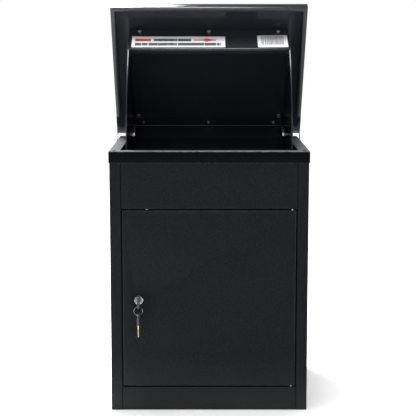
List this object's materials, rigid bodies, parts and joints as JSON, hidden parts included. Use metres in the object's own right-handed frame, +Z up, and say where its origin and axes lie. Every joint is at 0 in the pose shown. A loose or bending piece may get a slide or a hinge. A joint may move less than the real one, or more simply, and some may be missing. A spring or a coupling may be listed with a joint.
{
  "type": "parcel drop box",
  "caption": "Free-standing black steel parcel drop box: hinged lid with a drop scoop, locking front door below, key in its cam lock.",
  "frame": {"origin": "middle of the footprint, on the floor under the base", "axes": "+Z up, -Y out of the front (the door's face), +X to the right as seen from the front"},
  "size_m": [0.463, 0.4196, 0.9103],
  "materials": {
    "powder_coat": "fine-textured black powder coat",
    "lid_enamel": "smooth semi-gloss black",
    "zinc_steel": "bright zinc plate",
    "chrome_plate": "bright plate",
    "brass": "bright brass",
    "rubber": "matt black rubber",
    "nylon": "natural nylon",
    "label_film": "printed white film",
    "key_plastic": "dark grey moulded plastic"
  },
  "bodies": {
    "housing": {"side_panel_left": "powder_coat", "side_panel_right": "powder_coat", "back_panel": "powder_coat", "base_panel": "powder_coat", "front_fascia": "powder_coat", "plinth_panel": "powder_coat", "top_collar": "powder_coat", "door_stop_lock_side": "powder_coat", "door_stop_hinge_side": "powder_coat", "cam_keeper_plate": "zinc_steel", "door_pin_top": "zinc_steel", "door_pin_bottom": "zinc_steel", "door_bump_stop": "nylon", "lid_pivot_bolt_left": "zinc_steel", "lid_pivot_bolt_right": "zinc_steel", "lid_pivot_bush_left": "nylon", "lid_pivot_bush_right": "nylon", "lid_pivot_nut_left": "zinc_steel", "lid_pivot_nut_right": "zinc_steel", "lid_buffer_left": "rubber", "lid_buffer_right": "rubber", "base_grommet_1": "rubber", "base_grommet_2": "rubber", "back_grommet_1": "rubber", "back_grommet_2": "rubber"},
    "lid": {"lid_panel": "lid_enamel", "scoop_ledge": "lid_enamel", "ledge_bracket": "lid_enamel", "scoop_side_left": "lid_enamel", "scoop_side_right": "lid_enamel", "scoop_floor": "lid_enamel", "ledge_screw_left": "zinc_steel", "ledge_screw_centre": "zinc_steel", "ledge_screw_right": "zinc_steel", "floor_screw_left": "zinc_steel", "floor_screw_centre": "zinc_steel", "floor_screw_right": "zinc_steel", "side_bolt_left": "zinc_steel", "side_bolt_right": "zinc_steel", "notice_label": "label_film", "code_label": "label_film"},
    "door": {"door_panel": "powder_coat", "door_stiffener": "powder_coat", "lock_barrel": "chrome_plate", "lock_nut": "zinc_steel"},
    "lock_plug": {"lock_plug": "chrome_plate", "lock_cam": "zinc_steel", "cam_screw": "zinc_steel"},
    "key": {"lock_key_blade": "brass", "lock_key_bow": "key_plastic"},
    "key_ring": {"key_ring": "chrome_plate"},
    "spare_key": {"spare_key_blade": "brass", "spare_key_bow": "key_plastic"}
  },
  "joints": [
    {"name": "lid_hinge", "type": "hinge", "parent": "housing", "child": "lid", "pos_m": [0, 0.1675, 0.575], "axis": [1, 0, 0], "range_deg": [0, 58.5]},
    {"name": "door_hinge", "type": "hinge", "parent": "housing", "child": "door", "pos_m": [0.184, -0.1765, 0.2555], "axis": [0, 0, 1], "range_deg": [0, 110]},
    {"name": "lock_turn", "type": "hinge", "parent": "door", "child": "lock_plug", "pos_m": [-0.157, -0.1825, 0.2534], "axis": [0, -1, 0], "range_deg": [0, 90]},
    {"name": "key_pull", "type": "slide", "parent": "lock_plug", "child": "key", "axis": [0, -1, 0], "range_m": [0, 0.027]},
    {"name": "ring_swing", "type": "hinge", "parent": "key", "child": "key_ring", "pos_m": [-0.157, -0.2095, 0.2436], "axis": [-1, 0, 0], "range_deg": [-12, 60]},
    {"name": "spare_key_swing", "type": "hinge", "parent": "key_ring", "child": "spare_key", "pos_m": [-0.157, -0.2095, 0.2252], "axis": [-1, 0, 0], "range_deg": [-8, 60]}
  ]
}
